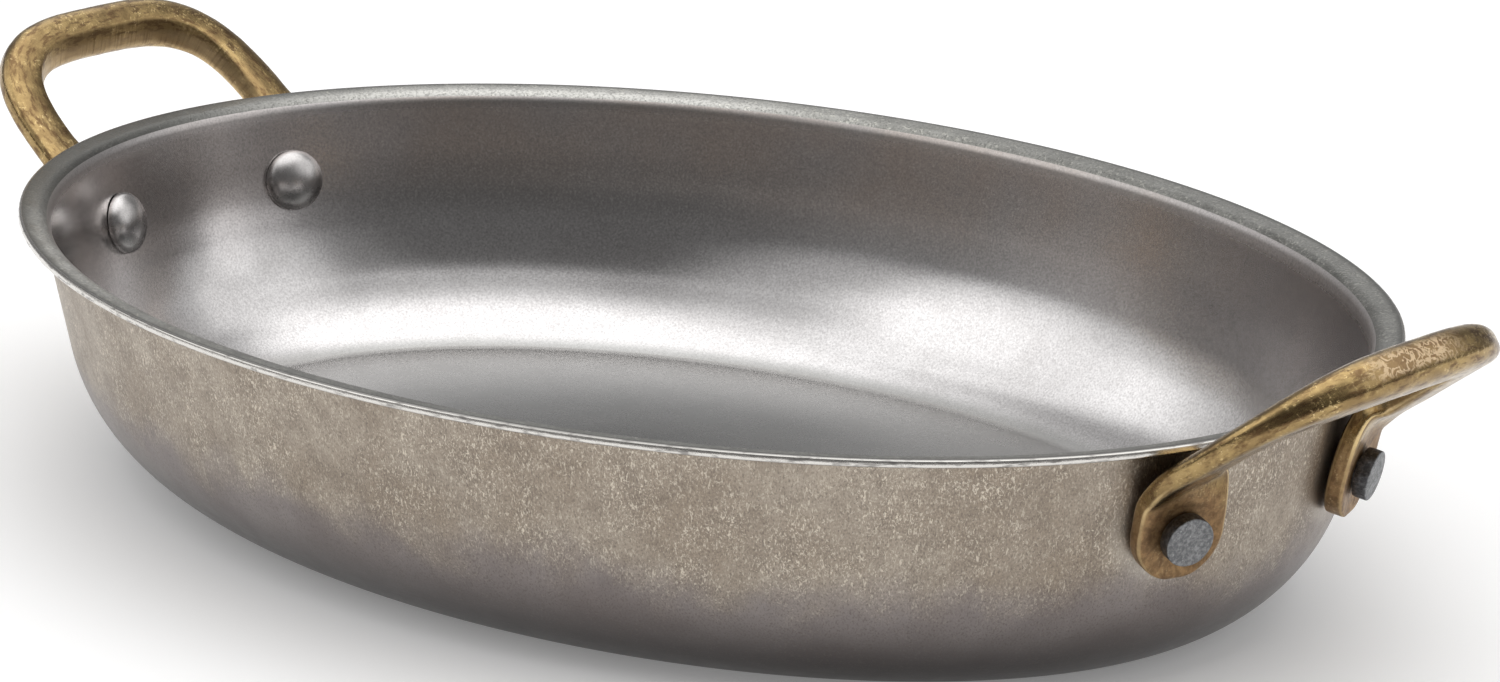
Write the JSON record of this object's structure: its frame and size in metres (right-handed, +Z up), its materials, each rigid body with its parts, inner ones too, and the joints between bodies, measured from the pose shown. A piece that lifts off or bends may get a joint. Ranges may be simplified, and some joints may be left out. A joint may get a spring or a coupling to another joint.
{
  "type": "oval serving dish",
  "caption": "Oval steel serving dish with a flat base, rounded corners, leaning walls, a flared rim and raised cast brass loop handles riveted to its ends.",
  "frame": {"origin": "centre of the flat base, on the surface that the dish stands on", "axes": "+X along the dish towards the right handle, +Y across the dish, +Z up"},
  "size_m": [0.235, 0.1458, 0.0467],
  "materials": {
    "bowl_steel": "antiqued satin steel, warm grey, finely scratched outside",
    "handle_brass": "cast, brown patina, worn bright on the ridges",
    "rivet_steel": "satin domes inside, dull flat heads outside"
  },
  "bodies": {
    "root": {"dish_body": "bowl_steel", "handle_left": "handle_brass", "handle_right": "handle_brass", "rivet_left_near": "rivet_steel", "rivet_left_far": "rivet_steel", "rivet_right_near": "rivet_steel", "rivet_right_far": "rivet_steel"}
  },
  "joints": []
}
